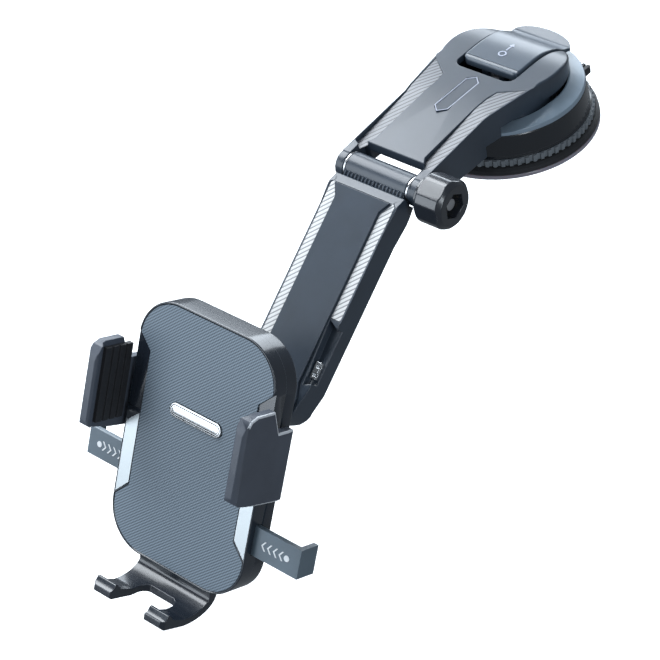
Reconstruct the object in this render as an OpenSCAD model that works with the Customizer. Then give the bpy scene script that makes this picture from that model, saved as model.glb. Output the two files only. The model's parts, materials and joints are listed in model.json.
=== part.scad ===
// Dashboard phone mount with a suction base, a clamped arm, a ball joint and a
// cradle whose two jaws open together through a rack and pinion.
// Millimetres. The origin is the centre of the suction face, +Z is the cup axis
// and the arm reaches towards -Y.

/* [Suction base] */
// Radius of the gel pad
pad_r = 40; // [34:0.5:48]
// Thickness of the gel pad
pad_t = 1.8; // [1:0.1:3]
// Thickness of the rubber cup at its lip
lip_t = 2.8; // [2:0.1:4]
// Height of the fins above the lip
fin_h = 3.2; // [2:0.1:5]
// How many fins go round the cup
fin_count = 72; // [40:1:90]
// Height of the cup shell above the gel pad
shell_h = 16.2; // [14:0.1:20]
// Height of the collar above the shell
collar_h = 4.2; // [3:0.1:6]
// Wall of the moulded shells
wall = 2; // [1.5:0.1:2.6]

/* [Top frame] */
// Half width of the round head
head_r = 25.5; // [23:0.1:27]
// Head centre ahead of the cup axis
head_y = 4; // [2:0.1:6]
// Radius of the cap that overhangs the collar
cap_r = 26.8; // [25:0.1:28]
// Cap centre behind the cup axis
cap_y = 3; // [1:0.1:4]
// How far the top has fallen at the back of the head
rear_fall = 6.7; // [5:0.1:7]
// Height of the head above the shell
head_h = 13.6; // [12:0.1:16]
// Width of the neck
neck_w = 41; // [36:0.5:46]
// Slope of the neck in degrees
neck_slope = 8.5; // [6:0.5:11]
// Depth of the neck at its front
neck_t = 12.6; // [11:0.1:16]

/* [Lock lever] */
// Width of the lever
lever_w = 28; // [22:0.5:29]
// Reach of the lever ahead of its pin
lever_front = 6; // [5:0.1:7]
// Distance of the thumb lip's crease behind the pin
lever_back = 29; // [28:0.5:30]
// Depth of the thumb lip
lip_l = 5.5; // [4:0.1:7]
// Lever opening angle in degrees
lever_open = 62; // [50:1:64]
// Travel of the pull rod over that angle
rod_travel = 2.2; // [1.5:0.1:2.4]

/* [Arm hinge] */
// Distance of the hinge axis ahead of the cup axis
hinge_reach = 76.1; // [72:0.5:90]
// Height of the hinge axis
hinge_z = 21.1; // [19:0.1:23]
// Radius of the hinge barrel
barrel_r = 6; // [5:0.1:7]
// Width of the arm knuckle
knuckle_w = 30.8; // [26:0.2:31.6]
// Radius of the hinge bolt
bolt_r = 2.5; // [2:0.1:3]
// Radius of the knob
knob_r = 10.4; // [8:0.1:12]
// Length of the knob
knob_l = 15; // [12:0.5:20]

/* [Arm] */
// Slope of the arm below level in degrees
arm_slope = 37.75; // [10:0.25:60]
// Length of the arm below the hinge axis
arm_l = 105; // [92:1:130]
// Width of the arm
arm_w = 33; // [30:0.5:38]
// Height of the arm's front face above the hinge axis
arm_face = 9.5; // [8.5:0.1:11]
// Depth of the arm
arm_t = 13; // [11.5:0.1:15]
// Width of the arm's middle panel
panel_w = 22; // [18:0.5:26]
// Length of the arm's right strip
strip_l = 45; // [30:1:50]
// Length of the arm's left strip
left_strip_l = 66; // [40:1:70]
// Length of the recess below the right strip
recess_l = 28; // [20:1:30]

/* [Ball joint] */
// Radius of the ball
ball_r = 8.5; // [7.5:0.1:10.2]
// Height of the ball centre above the arm's face
ball_h = 17.2; // [16.5:0.1:20]
// Distance of the ball centre from the arm's end
ball_end = 10; // [9:0.5:14]
// Radius of the ball's stem
stem_r = 4; // [3:0.1:4.4]
// Tilt of the cradle against the arm in degrees
ball_tilt = 24.65; // [0:0.05:30]
// Thickness of each friction liner
liner_t = 0.93; // [0.8:0.01:1.2]

/* [Cradle] */
// Width of the cradle
cradle_w = 70.2; // [66:0.2:86]
// Length of the cradle
cradle_l = 105; // [96:1:126]
// Depth of the cradle
cradle_t = 12.5; // [12:0.1:16]
// Corner radius of the cradle
cradle_r = 18; // [14:0.5:22]
// Distance of the ball socket above the cradle's centre
socket_v = 23.7; // [15:0.1:26]
// Width of the silver side trims
trim_w = 6; // [5:0.1:7]
// Length of the badge
badge_l = 27; // [20:0.5:32]
// Width of the badge
badge_w = 6; // [4:0.1:8]

/* [Clamp] */
// Length of each jaw along the cradle
jaw_l = 38.6; // [34:0.2:44]
// Reach of each jaw in front of the cradle's face
jaw_reach = 20.6; // [16:0.2:24]
// Gap between the cradle's side and the jaw
jaw_gap = 2.2; // [1.8:0.1:5]
// Thickness of the jaw's side plate
jaw_t = 3.9; // [3.6:0.1:5.4]
// How far the lip overhangs the side plate
lip_w = 1.6; // [1:0.1:5]
// Thickness of each carriage plate
plate_t = 2.6; // [2:0.1:3.1]
// Gear module
gear_m = 1; // [1:0.1:1]
// Teeth on the pinion
teeth = 12; // [12:2:12]
// Length of the push slides outside the cradle
slide_out = 22.8; // [16:0.2:24]
// Height of the push slides
slide_h = 12; // [9:0.2:12]

/* [Foot] */
// Width of the foot
foot_w = 38.2; // [34:0.1:46]
// Gap between the two prongs
foot_gap = 18.4; // [12:0.1:20]
// Reach of the foot in front of the cradle's face
foot_reach = 21.7; // [18:0.1:24]
// Drop of the foot's lowest point below the cradle
foot_drop = 12; // [11:0.1:16]
// Thickness of the ledge
foot_t = 2.9; // [2.4:0.1:3.4]

/* [Fits] */
// Radial clearance of a running fit
run = 0.06; // [0.02:0.01:0.1]
// Gap between pieces that move past each other
gap = 0.35; // [0.3:0.05:0.5]
// Gap between pieces that are fixed together
seat = 0.05; // [0.02:0.01:0.1]

/* [Hidden] */
$fn = 96;

// Base heights
cup_top = pad_t + lip_t;
shell_z = pad_t + shell_h;
collar_z = shell_z + collar_h;
head_z = shell_z + head_h;
shell_r = pad_r - 4.9;
fin_r = pad_r - 3.3;
roof_t = 2.4;
bore_r = head_r - wall;
neck_bend = 32;
cap_z = collar_z + 0.5;
rear_y = 25.6;
roof_under = head_z - roof_t - 0.6;
pin_z = head_z - 6.6;
plate_z = 7.2;
plate_r = 9;
rod_r = 2.4;
rod_pin_r = 1.5;
eye_r = 2.9;
eye_w = 5;
cheek_w = 3;
deck_z = shell_z - wall;
spring_seat = deck_z;
cam_gap = gap + 0.15;

// Hinge
ear_out = neck_w / 2;
ear_in = knuckle_w / 2 + 1.1;
neck_front = hinge_reach - 8.6;
window_w = 27;
window_l = 10.5;
window_low = 5.3;
arm_half = arm_w / 2;
knob_x = ear_out + gap;
knob_neck = 2.2;

// Arm
panel_t = 1.2;
arm_back = arm_face - arm_t;
ledge_z = arm_face - 1;
shoulder_y = 5.4;
shoulder_w = arm_w / 2 + 1.1;
strip_y = 14;
clip_y = strip_y + strip_l + recess_l - 7;

// Ball joint, with radii about the ball centre
r_in0 = ball_r + run;
r_in1 = r_in0 + liner_t;
r_out0 = r_in1 + run;
r_out1 = r_out0 + liner_t;
r_sock = r_out1 + run;
sock_r = r_sock + 2.5;
nut_r = sock_r + 2.4;
wrap = 20;
sock_floor = 1.96;
ball_back = r_sock + sock_floor;
flange_r = 5.8;

// Cradle layers, measured behind the face
pad_d = 1;
floor_d = pad_d + 1.6;
front_d0 = floor_d + gap + 0.25;
front_d1 = front_d0 + plate_t;
part_d = front_d1 + 0.4;
rear_d0 = front_d1 + 0.4;
rear_d1 = rear_d0 + plate_t;
back_d = cradle_t - 1.5;
half_w = cradle_w / 2;
half_l = cradle_l / 2;
side_wall = 2;
pitch_r = gear_m * teeth / 2;
pinion_v = -1;
rack_b = pinion_v + pitch_r;
rack_a = pinion_v - pitch_r;
root_d = 1.25 * gear_m;
arm_v1 = 16;
slide_a_v = -20.8;
slide_b_v = -24;
jaw_v0 = -5.8;
jaw_v1 = jaw_v0 + jaw_l;
jaw_d = 7.2;
jaw_u0 = half_w + jaw_gap;
jaw_u1 = jaw_u0 + jaw_t;
slide_u = half_w + slide_out;
tab_t = 2.4;
link_w = 7.2;
lug_v = 24;
post_r = 2.1;
tongue_d0 = 3;
tongue_d1 = 5.8;
tongue_v0 = 8;
tongue_v1 = 14;
tongue_l = 2.4;

// Turns an outline drawn as (y, z) into a bar that is w wide along X.
module across(w) {
  rotate([90, 0, 90]) linear_extrude(height = w, center = true) children();
}
// A bar along X from x0 to x1.
module x_rod(r, x0, x1) {
  translate([x0, 0, 0]) rotate([0, 90, 0]) cylinder(r = r, h = x1 - x0);
}
module box(x0, x1, y0, y1, z0, z1) {
  translate([x0, y0, z0]) cube([x1 - x0, y1 - y0, z1 - z0]);
}
module mirror_x() {
  children();
  mirror([1, 0, 0]) children();
}
module on_hinge() { translate([0, -hinge_reach, hinge_z]) children(); }
module on_arm() { on_hinge() rotate([arm_slope, 0, 0]) children(); }
module on_ball() { on_arm() translate([0, ball_end - arm_l, arm_face + ball_h]) children(); }
// The cradle's frame: its face is z = 0 and its length runs along y.
module on_cradle() {
  on_ball() rotate([ball_tilt, 0, 0]) translate([0, -socket_v, cradle_t + ball_back]) children();
}
// A rectangle with round corners.
module round_rect(w, l, r) {
  square([w - 2 * r, l], center = true);
  square([w, l - 2 * r], center = true);
  for (x = [-1, 1], y = [-1, 1]) translate([x * (w / 2 - r), y * (l / 2 - r)]) circle(r = r);
}
module slab(z0, z1) { translate([0, 0, z0]) linear_extrude(height = z1 - z0) children(); }

/* Suction base */

module gel_pad() { color("dimgray") cylinder(r = pad_r, h = pad_t); }

module suction_cup() {
  tab_w = 26;
  color("black") {
    rotate_extrude() polygon([[0, pad_t], [pad_r - 0.4, pad_t], [pad_r - 0.1, pad_t + 0.6],
      [pad_r - 0.4, cup_top - 0.8], [pad_r - 1.4, cup_top], [fin_r - 1.6, cup_top],
      [fin_r - 1.6, cup_top - 0.6], [plate_r + 3, cup_top - 0.6], [plate_r + 3, pad_t + 1.4],
      [0, pad_t + 1.4]]);
    difference() {
      box(-tab_w / 2, tab_w / 2, pad_r - 2.2, pad_r + 4, pad_t + 0.8, pad_t + lip_t + 1.6);
      for (i = [-5 : 5]) box(i * 2.2 - 0.45, i * 2.2 + 0.45, pad_r + 1.2, pad_r + 4.1,
        pad_t + lip_t + 0.9, pad_t + lip_t + 2);
      box(-tab_w, tab_w, pad_r - 3, pad_r - 1.5, cup_top - 0.01, cup_top + 3);
    }
  }
}

// The black skirt with its deck, which seats the collar and the top frame.
module cup_shell() {
  color([0.08, 0.08, 0.09]) difference() {
    rotate_extrude() polygon([[fin_r, cup_top + seat], [fin_r, cup_top + fin_h + 0.5],
      [fin_r - 0.6, cup_top + fin_h + 1], [shell_r, shell_z - 0.4], [shell_r - 0.3, shell_z],
      [rod_r + run, shell_z], [rod_r + run, deck_z], [shell_r - wall, deck_z],
      [fin_r - wall - 0.4, cup_top + fin_h], [fin_r - wall, cup_top + seat]]);
    for (a = [45 : 90 : 315]) rotate(a) translate([19, 0, deck_z - 1]) cylinder(r = 1.6, h = 6);
  }
}

// Even fins round the rim of the shell.
module fin_ring() {
  step = 360 / fin_count;
  tip = fin_r + 1.3;
  root = fin_r + 0.45;
  color([0.14, 0.15, 0.16]) slab(cup_top + 0.4, cup_top + fin_h) difference() {
    polygon([for (i = [0 : fin_count - 1], k = [[0.1, root], [0.22, tip], [0.62, tip], [0.74, root]])
      [k[1] * cos((i + k[0]) * step), k[1] * sin((i + k[0]) * step)]]);
    circle(r = fin_r + seat, $fn = 256);
  }
}

// The collar's rim falls away towards the front, where it ends in two thin points.
module cup_collar() {
  inner = head_r + 2.4;
  color([0.36, 0.40, 0.45]) intersection() {
    rotate_extrude() polygon([[shell_r, shell_z + seat], [shell_r - 0.4, shell_z + 2],
      [inner + 0.8, collar_z], [inner, collar_z - 0.2], [inner, shell_z + seat]]);
    across(2 * pad_r) polygon([[pad_r, 0], [pad_r, collar_z + 1], [5, collar_z + 1],
      [-head_r, shell_z + 1.4], [-pad_r, shell_z + 1.4], [-pad_r, 0]]);
  }
}

// Height of the frame's top at a distance y ahead of the cup axis.
function top_at(y) = y < neck_bend ? head_z : head_z - (y - neck_bend) * tan(neck_slope);

// Height of the head's curved back at a distance y behind the cup axis.
function back_at(y) = head_z - rear_fall * pow(max(y, 0) / rear_y, 3);

// Outline of the frame seen from above.
module frame_plan() {
  waist_y = head_y + 32;
  translate([0, -head_y]) circle(r = head_r);
  polygon([[-ear_out, -hinge_reach - 20], [ear_out, -hinge_reach - 20], [ear_out, -waist_y],
    [head_r - 0.6, -head_y - 5], [-head_r + 0.6, -head_y - 5], [-ear_out, -waist_y]]);
}

// The cap reaches further back than the round body of the head.
module cap_plan() {
  translate([0, cap_y]) circle(r = cap_r);
  translate([0, -head_y]) circle(r = head_r);
}

// Side of the frame from the head to the hinge barrel.
module frame_side() {
  low = top_at(neck_front) - neck_t;
  polygon(concat([for (y = [32 : -1.6 : 0]) [y, back_at(y)]],
    [[-neck_bend, head_z], [-hinge_reach, hinge_z + barrel_r + 0.2], [-hinge_reach, hinge_z - barrel_r],
      [-neck_front, low], [-shell_r - 1.4, low - 0.6], [-shell_r - 1.4, shell_z + seat],
      [32, shell_z + seat]]));
  translate([-hinge_reach, hinge_z]) circle(r = barrel_r);
}

// The lever's opening in the head, with room for its front edge to swing down.
module lever_slot() {
  half = lever_w / 2 + gap + 0.2;
  inner = bore_r - head_y - 1.5;
  body_end = head_r - head_y;
  front = lever_front + 5.3;
  corner = 4;
  slab(head_z - 9, head_z + 1) {
    translate([-half, -front + corner]) square([2 * half, inner + front - corner]);
    translate([-half + corner, -front]) square([2 * (half - corner), corner + 1]);
    for (x = [-1, 1]) translate([x * (half - corner), -front + corner]) circle(r = corner);
  }
  box(-half, half, inner - 1, body_end + 0.2, cap_z + 0.5, head_z + 1);
  box(-half, half, body_end, cap_y + cap_r + 1, shell_z, head_z + 1);
}

// The strips lie in the top along both edges of the neck.
module strip_cut(g) {
  edge = ear_out - 0.9;
  mirror_x() linear_extrude(height = 60) polygon([[ear_out - 7.6 - g, -neck_front + 3 - g],
    [ear_out - 4, -neck_front - 3 - g], [edge + g, -neck_front - 1 - g], [edge + g, -head_y - 32],
    [head_r - 2.4 + g, -head_y - 8 + g], [ear_out - 6.6 - g, -head_y - 15 + g],
    [ear_out - 7.6 - g, -head_y - 20]]);
}

// A layer of this depth just below the sloping top.
module top_layer(depth) {
  across(2 * head_r + 4) polygon([[head_r, head_z + 2], [-neck_bend, head_z + 2],
    [-hinge_reach, top_at(hinge_reach) + 2], [-hinge_reach, top_at(hinge_reach) - depth],
    [-neck_bend, head_z - depth], [head_r, head_z - depth]]);
}

module top_frame() {
  color([0.20, 0.22, 0.25]) difference() {
    intersection() {
      union() {
        linear_extrude(height = 60) frame_plan();
        slab(cap_z, 60) cap_plan();
      }
      across(3 * head_r) frame_side();
    }
    // Seat over the round shell and the ring groove of the collar
    cylinder(r = fin_r + 2, h = shell_z + seat);
    translate([0, 0, shell_z - 1]) difference() {
      cylinder(r = shell_r + gap, h = collar_h + 1.3);
      cylinder(r = head_r + 2.3, h = collar_h + 3);
    }
    // Hollow head and neck
    translate([0, -head_y, shell_z - 1]) cylinder(r = bore_r, h = roof_under - shell_z + 1);
    across(neck_w - 2 * wall - 1) polygon([[-head_y, shell_z - 1], [-head_y, roof_under],
      [-neck_bend, roof_under], [-neck_front + wall, top_at(neck_front) - roof_t - 0.2],
      [-neck_front + wall, 0], [-shell_r, 0]]);
    lever_slot();
    // Window behind the barrel, below the front edge of the top
    box(-window_w / 2, window_w / 2, -neck_front - 1, -neck_front + wall + 1,
      top_at(neck_front) - neck_t + window_low, top_at(neck_front) - roof_t - 0.2);
    // Slot that the arm's knuckle turns in
    box(-ear_in, ear_in, -hinge_reach - barrel_r - 9, -neck_front, 0, 60);
    on_hinge() x_rod(bolt_r + run, -ear_out - 1, ear_out + 1);
    on_hinge() x_rod(bolt_r + 1.9, -ear_out - 1, -ear_out + 1.9);
    intersection() {
      strip_cut(seat);
      top_layer(0.7);
    }
    intersection() {
      label_cut(seat);
      top_layer(1.1 + seat);
    }
  }
}

// A long hexagon in the middle of the neck.
module label_cut(g) {
  y0 = -41;
  y1 = -14;
  half = 3.4 + g;
  point = 2.8;
  slab(head_z - 12, head_z + 2) polygon([[-half, y0 + point], [0, y0 - g], [half, y0 + point],
    [half, y1 - point], [0, y1 + g], [-half, y1 - point]]);
}

// A plate that closes the neck from below and stops short of the window.
module neck_cover() {
  low = top_at(neck_front) - neck_t;
  half = neck_w / 2 - wall - 0.5 - seat;
  color([0.10, 0.10, 0.11]) difference() {
    box(-half, half, -neck_front + window_l, -fin_r - 3, low + 0.4, low + 2);
    for (x = [-12, 12]) translate([x, -48, low - 1]) cylinder(r = 1.3 + seat, h = 4);
  }
}

module base_strip() {
  intersection() {
    strip_cut(0);
    top_layer(0.7 - seat);
    box(0, 60, -200, 60, 0, 60);
    across(200) polygon([[60, head_z - 0.25], [-neck_bend, head_z - 0.25],
      [-hinge_reach - 9, top_at(hinge_reach + 9) - 0.25], [-hinge_reach - 9, 0], [60, 0]]);
  }
}
module base_strip_right() { color([0.35, 0.36, 0.38]) base_strip(); }
module base_strip_left() { color([0.35, 0.36, 0.38]) mirror([1, 0, 0]) base_strip(); }

// A blank plate let into the middle of the neck.
module label_plate() {
  color([0.55, 0.57, 0.60]) intersection() {
    label_cut(0);
    top_layer(1.1);
    across(20) polygon([[60, head_z - 0.1], [-neck_bend, head_z - 0.1],
      [-hinge_reach, top_at(hinge_reach) - 0.1], [-hinge_reach, 0], [60, 0]]);
  }
}

/* Lock lever and pull rod */

module on_pin() { translate([0, 0, pin_z]) children(); }

// The cam's radius under the pin once the lever has turned by a degrees.
function cam_at(a) = pin_z - shell_z - cam_gap - rod_travel * min(max(a, 0), lever_open) / lever_open;

// Height of the lever's top at a distance y behind its pin.
function lever_at(y) = back_at(min(y, lever_back - 3)) + 0.9;

// Outline of the lever: round front corners and a curved thumb lip.
module lever_plan() {
  half = lever_w / 2;
  corner = 3;
  translate([-half, -lever_front + corner]) square([2 * half, lever_back + lever_front - corner]);
  translate([-half + corner, -lever_front]) square([2 * (half - corner), corner + 1]);
  for (x = [-1, 1]) translate([x * (half - corner), -lever_front + corner]) circle(r = corner);
  polygon([for (a = [0 : 10 : 180]) [(half + 0.6) * cos(a), lever_back - 0.5 + (lip_l + 0.5) * sin(a)]]);
}

module lock_lever() {
  half = lever_w / 2;
  lever_t = 2.2;
  crease_z = lever_at(lever_back) - 1;
  lip_end = lever_back + lip_l;
  color([0.28, 0.31, 0.35]) difference() {
    union() {
      intersection() {
        linear_extrude(height = 80) lever_plan();
        across(3 * half) polygon(concat(
          [[-lever_front, head_z - 3.1], [-lever_front, head_z - 0.2], [-lever_front + 1.2, lever_at(0)]],
          [for (y = [0 : 2.6 : 26]) [y, lever_at(y)]],
          [[lever_back, crease_z], [lip_end, crease_z + 1.2], [lip_end, crease_z + 0.2],
            [lever_back, crease_z - 1.4]],
          [for (y = [26 : -2.6 : 13]) [y, lever_at(y) - lever_t]],
          [[9, head_z - 3.1]]));
      }
      // Two cam cheeks either side of the rod's eye
      mirror_x() translate([eye_w / 2 + gap, 0, 0]) rotate([90, 0, 90])
        linear_extrude(height = cheek_w) translate([0, pin_z]) polygon(concat(
          [for (a = [-20 : 5 : lever_open + 10]) cam_at(a) * [-sin(a), -cos(a)]],
          [[-4.4, 3.8], [4, 3.8], [4, -4.2]]));
    }
    on_pin() x_rod(rod_pin_r + run, -half, half);
  }
}

// A generic mark: a ring, a bar and an arrow head that follow the lever's top.
module lever_mark() {
  color([0.75, 0.78, 0.80]) intersection() {
    linear_extrude(height = 80) {
      translate([0, 3]) difference() {
        circle(r = 1.8);
        circle(r = 1.25);
      }
      translate([-0.3, 5.8]) square([0.6, 3.6]);
      polygon([[-1.2, 9.4], [1.2, 9.4], [0, 11.2]]);
    }
    across(10) polygon(concat([for (y = [0 : 2.6 : 13]) [y, lever_at(y)]],
      [for (y = [13 : -2.6 : 0]) [y, lever_at(y) + 0.15]]));
  }
}

module pull_rod() {
  color([0.62, 0.63, 0.65]) difference() {
    union() {
      translate([0, 0, plate_z]) cylinder(r = plate_r, h = 2);
      translate([0, 0, plate_z + 1]) cylinder(r = rod_r, h = pin_z - eye_r - plate_z);
      on_pin() x_rod(eye_r, -eye_w / 2, eye_w / 2);
    }
    on_pin() x_rod(rod_pin_r + run, -eye_w, eye_w);
  }
}

module rod_pin() {
  color("silver") on_pin() x_rod(rod_pin_r, -eye_w / 2 - gap - cheek_w, eye_w / 2 + gap + cheek_w);
}

// A coil with wire radius w, drawn from z = 0 to z = h about the z axis.
module coil(r, w, h, turns) {
  per = 20;
  sides = 6;
  n = turns * per;
  ring = [for (i = [0 : n]) let (a = i * 360 / per) [for (k = [0 : sides - 1])
    let (q = r + w * cos(k * 360 / sides)) [q * cos(a), q * sin(a),
      w + (h - 2 * w) * i / n + w * sin(k * 360 / sides)]]];
  polyhedron(points = [for (s = ring) each s], faces = concat(
    [[for (k = [0 : sides - 1]) k]],
    [for (i = [0 : n - 1], k = [0 : sides - 1]) let (m = (k + 1) % sides)
      [i * sides + k, (i + 1) * sides + k, (i + 1) * sides + m, i * sides + m]],
    [[for (k = [sides - 1 : -1 : 0]) n * sides + k]]));
}

module rod_spring() {
  color("silver") translate([0, 0, plate_z + 2 + seat])
    coil(rod_r + 2, 0.5, spring_seat - plate_z - 2 - 2 * seat, 4);
}

module base_screws() {
  color("silver") for (a = [45 : 90 : 315]) rotate(a) translate([19, 0, 0]) {
    translate([0, 0, deck_z - 1.6]) cylinder(r = 2.8, h = 1.6 - seat);
    translate([0, 0, deck_z - 0.4]) cylinder(r = 1.5, h = wall + 0.4);
  }
}

/* Arm hinge */

module hinge_bolt() {
  color("silver") on_hinge() {
    x_rod(bolt_r + 1.7, -ear_out + 0.1, -ear_out + 1.9 - seat);
    x_rod(bolt_r, -ear_out + 1, knob_x + knob_l - 2);
  }
}

module hinge_washers() {
  color([0.75, 0.77, 0.80]) on_hinge() for (x = [-1, 1]) translate([x * (ear_in - 0.55), 0, 0])
    rotate([0, 90, 0]) difference() {
      cylinder(r = barrel_r - 0.2, h = 0.9, center = true);
      cylinder(r = bolt_r + run, h = 2, center = true);
    }
}

// A rounded hexagon with a chamfered end and a hexagonal recess.
module knob() {
  flat_r = knob_r * 1.1;
  end_x = knob_x + knob_l;
  color([0.10, 0.11, 0.13]) on_hinge() difference() {
    union() {
      x_rod(knob_r - 2.6, knob_x, knob_x + knob_neck + 0.5);
      intersection() {
        translate([knob_x + knob_neck, 0, 0]) rotate([0, 90, 0])
          linear_extrude(height = knob_l - knob_neck) intersection() {
            circle(r = knob_r);
            circle(r = flat_r, $fn = 6);
          }
        translate([knob_x + knob_neck, 0, 0]) rotate([90, 0, 90]) rotate_extrude() polygon([[0, 0],
          [knob_r - 0.8, 0], [knob_r, 0.8], [knob_r, knob_l - knob_neck - 1.8],
          [knob_r - 1.8, knob_l - knob_neck], [0, knob_l - knob_neck]]);
      }
    }
    x_rod(bolt_r + run, 0, end_x + 1);
    translate([end_x - 5, 0, 0]) rotate([0, 90, 0]) cylinder(r = 5.6, h = 6, $fn = 6);
    translate([knob_x + 3, 0, 0]) rotate([0, 90, 0])
      cylinder(r = 4.6, h = knob_l, $fn = 6);
  }
}

module knob_nut() {
  color([0.78, 0.62, 0.32]) on_hinge() difference() {
    translate([knob_x + 3 + seat, 0, 0]) rotate([0, 90, 0])
      cylinder(r = 4.6 - seat, h = 6, $fn = 6);
    x_rod(bolt_r + run, 0, 60);
  }
}

/* Arm, drawn with the hinge axis at the origin and its length along -Y */

module arm_plan() {
  end_r = 9;
  polygon([[-shoulder_w, -shoulder_y], [shoulder_w, -shoulder_y], [shoulder_w, -11],
    [arm_half, -24], [arm_half, end_r + 8 - arm_l], [arm_half - 1.6, end_r - arm_l],
    [-arm_half + 1.6, end_r - arm_l], [-arm_half, end_r + 8 - arm_l], [-arm_half, -24],
    [-shoulder_w, -11]]);
  translate([-arm_half + 1.6 + end_r, -arm_l]) square([arm_w - 3.2 - 2 * end_r, 20]);
  for (x = [-1, 1]) translate([x * (arm_half - 1.6 - end_r), end_r - arm_l]) circle(r = end_r);
}

module arm_side() {
  polygon([[-shoulder_y, arm_face - 3.4], [-shoulder_y - 4.2, arm_face - 1], [-strip_y, arm_face - 1],
    [6 - arm_l, arm_face - 1], [1.5 - arm_l, arm_face - 2.4], [-arm_l, arm_face - 6],
    [-arm_l, arm_back + 4], [3 - arm_l, arm_back + 1], [7 - arm_l, arm_back], [-14, arm_back],
    [-shoulder_y, arm_back + 1.6]]);
}

// Outline of the smooth middle panel: it widens at the top and round the ball's stem.
module panel_plan(g) {
  half = panel_w / 2 - g;
  end_r = 6;
  flare = 2.4;
  end_x = half + flare - end_r;
  end_y = end_r + 3 + g - arm_l;
  top_y = -shoulder_y - 4 - g;
  side = concat([[half + 3, top_y], [half, -strip_y - 0.2], [half, 18 - arm_l], [half + flare, 12 - arm_l]],
    [for (a = [0 : -10 : -90]) [end_x + end_r * cos(a), end_y + end_r * sin(a)]]);
  polygon(concat(side, [for (i = [len(side) - 1 : -1 : 0]) [-side[i].x, side[i].y]]));
}

// Outline of one side strip of length l, with a point at its top.
module strip_plan(l, g) {
  inner = panel_w / 2 + 0.4 - g;
  outer = arm_half - 0.3 + g;
  polygon([[inner, -strip_y - 1 + g], [outer - 1.2, -strip_y + 5 + g], [outer, -strip_y + 4],
    [outer, -strip_y - l - g], [inner, -strip_y - l - g]]);
}

module recess_plan() {
  polygon([[panel_w / 2 + 0.4, -strip_y - strip_l - 1], [arm_half + 1, -strip_y - strip_l - 4],
    [arm_half + 1, -strip_y - strip_l - recess_l + 2], [panel_w / 2 + 0.4 + 1.4,
    -strip_y - strip_l - recess_l]]);
}

module arm_body() {
  ribs = 16;
  color([0.22, 0.25, 0.29]) on_arm() difference() {
    union() {
      intersection() {
        slab(arm_back - 1, arm_face + 1) arm_plan();
        across(neck_w) arm_side();
      }
      x_rod(barrel_r - 0.1, -knuckle_w / 2, knuckle_w / 2);
      // Web between the knuckle and the arm
      box(-knuckle_w / 2, knuckle_w / 2, -shoulder_y - 2, 0, arm_back + 2.4, barrel_r - 1.4);
      for (i = [0 : ribs]) translate([(i / ribs - 0.5) * (knuckle_w - 2), 0, 0])
        box(-0.4, 0.4, -shoulder_y - 0.5, -3, barrel_r - 2, barrel_r - 0.7);
    }
    x_rod(bolt_r + run, -neck_w, neck_w);
    slab(arm_face - panel_t, arm_face + 1) panel_plan(-seat);
    // Room for the ears of the top frame
    mirror_x() x_rod(barrel_r + cam_gap, knuckle_w / 2, ear_out + 1);
    slab(ledge_z - 0.7, arm_face) strip_plan(strip_l, seat);
    slab(ledge_z - 0.7, arm_face) mirror([1, 0]) strip_plan(left_strip_l, seat);
    slab(ledge_z - 4, arm_face) recess_plan();
    // Hollow from behind, with a step that seats the cover
    slab(arm_back - 1, arm_face - 5) arm_pocket();
    slab(arm_back - 1, arm_back + 1.6 + seat) cover_plan(-seat);
    translate([0, ball_end - arm_l, -20]) cylinder(r = 1.6 + run, h = 40);
    cover_screws() cylinder(r = 1.1 + seat, h = 9, center = true);
  }
}

module arm_pocket() {
  difference() {
    translate([-arm_half + 3, 5 - arm_l + 6]) square([arm_w - 6, arm_l - 34]);
    translate([0, ball_end - arm_l]) circle(r = 8.5);
    for (y = [-30, 20 - arm_l]) translate([0, y]) circle(r = 3.4);
    for (x = [-1, 1]) translate([x * (arm_half - 3), -strip_y - strip_l - recess_l / 2 - 2])
      square([6, recess_l + 8], center = true);
  }
}
module cover_plan(g) {
  translate([-arm_half + 2 + g, 16 - arm_l + g]) square([arm_w - 4 - 2 * g, arm_l - 38 - 2 * g]);
}
module cover_screws() {
  for (y = [-30, 22 - arm_l]) translate([0, y, arm_back + 2.5]) children();
}

module arm_panel() {
  color([0.18, 0.20, 0.24]) on_arm() difference() {
    slab(arm_face - panel_t + seat, arm_face) panel_plan(0);
    translate([0, ball_end - arm_l, 0]) cylinder(r = flange_r + seat, h = 40);
  }
}

module arm_cover() {
  color([0.11, 0.12, 0.13]) on_arm() difference() {
    slab(arm_back + 0.1, arm_back + 1.6) cover_plan(0);
    cover_screws() cylinder(r = 1.1 + seat, h = 9, center = true);
    cover_screws() translate([0, 0, -1.7]) cylinder(r = 2.2 + seat, h = 2, center = true);
  }
}

module arm_strip(l) {
  slab(ledge_z - 0.7 + seat, ledge_z - 0.15) strip_plan(l, 0);
}
module arm_strip_right() { color([0.80, 0.82, 0.84]) on_arm() arm_strip(strip_l); }
module arm_strip_left() {
  color([0.80, 0.82, 0.84]) on_arm() mirror([1, 0, 0]) arm_strip(left_strip_l);
}

// A bright clip that sits in the recess.
module arm_clip() {
  x0 = panel_w / 2 + 2;
  color([0.82, 0.84, 0.86]) on_arm() difference() {
    translate([0, -clip_y - 3.5, ledge_z - 4 + seat]) cube([arm_half - 0.9, 7, 2.4]);
    translate([-1, -clip_y - 5, ledge_z - 5]) cube([x0 + 1, 10, 5]);
    translate([x0 + 1, -clip_y - 2.3, ledge_z - 2.9]) cube([6, 1.2, 2]);
    translate([x0 + 1, -clip_y + 1.1, ledge_z - 2.9]) cube([6, 1.2, 2]);
  }
}

module arm_screws() {
  color("silver") on_arm() cover_screws() {
    translate([0, 0, -1.7]) cylinder(r = 2.2, h = 1.2, center = true);
    translate([0, 0, -1.4]) cylinder(r = 1.1, h = 5);
  }
}

/* Ball joint */

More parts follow.
